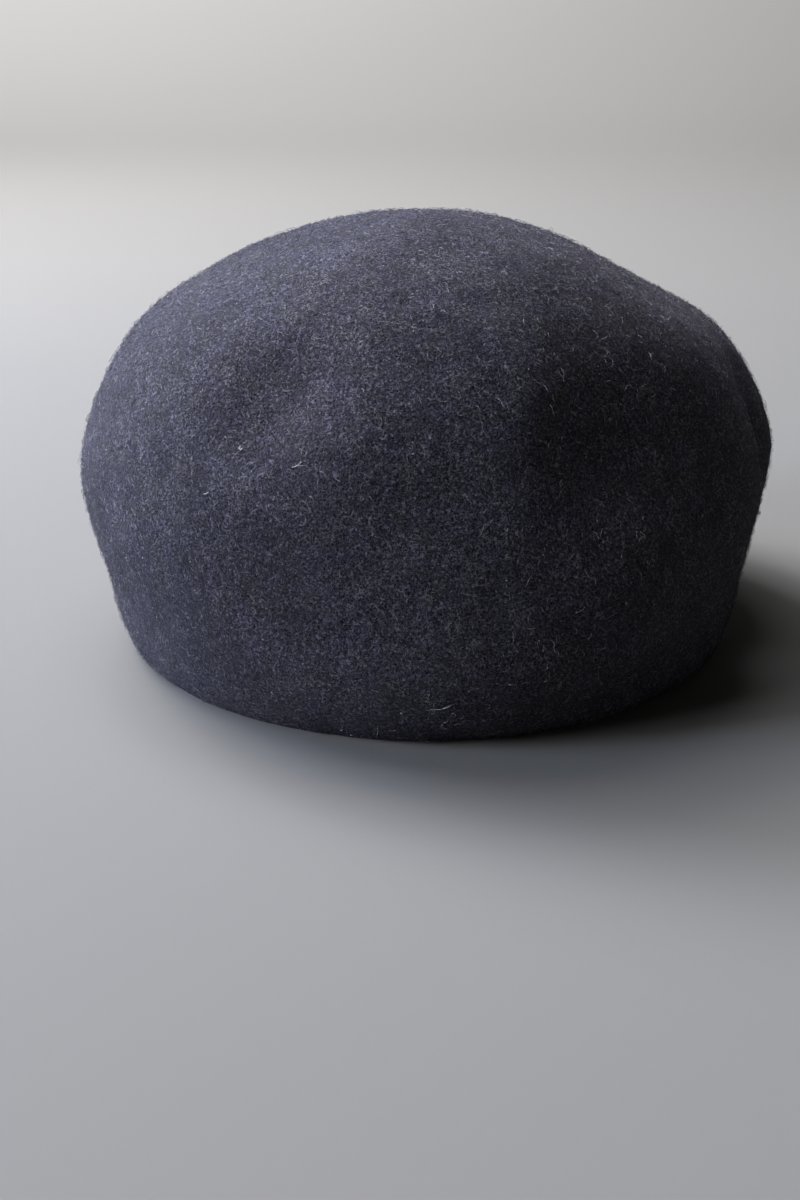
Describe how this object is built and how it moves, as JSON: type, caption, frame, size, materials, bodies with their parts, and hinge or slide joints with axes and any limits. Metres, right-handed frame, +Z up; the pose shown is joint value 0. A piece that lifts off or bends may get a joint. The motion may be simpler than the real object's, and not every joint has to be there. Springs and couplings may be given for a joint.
{
  "type": "flat cap",
  "caption": "Dark felt flat cap: a seamless, softly dented hollow crown that rolls under to an oval rim, with a short stiff peak under its front, to wear on the head.",
  "frame": {"origin": "on the table, under the middle of the cap", "axes": "+Z up, -Y forwards over the peak, +X to the wearer's left"},
  "size_m": [0.2076, 0.2688, 0.122],
  "materials": {
    "crown_felt": "matt brushed wool felt, dark navy grey, with a short pale nap",
    "peak_felt": "the same felt drawn tight over a board"
  },
  "bodies": {
    "root": {"crown": "crown_felt", "peak": "peak_felt"}
  },
  "joints": []
}
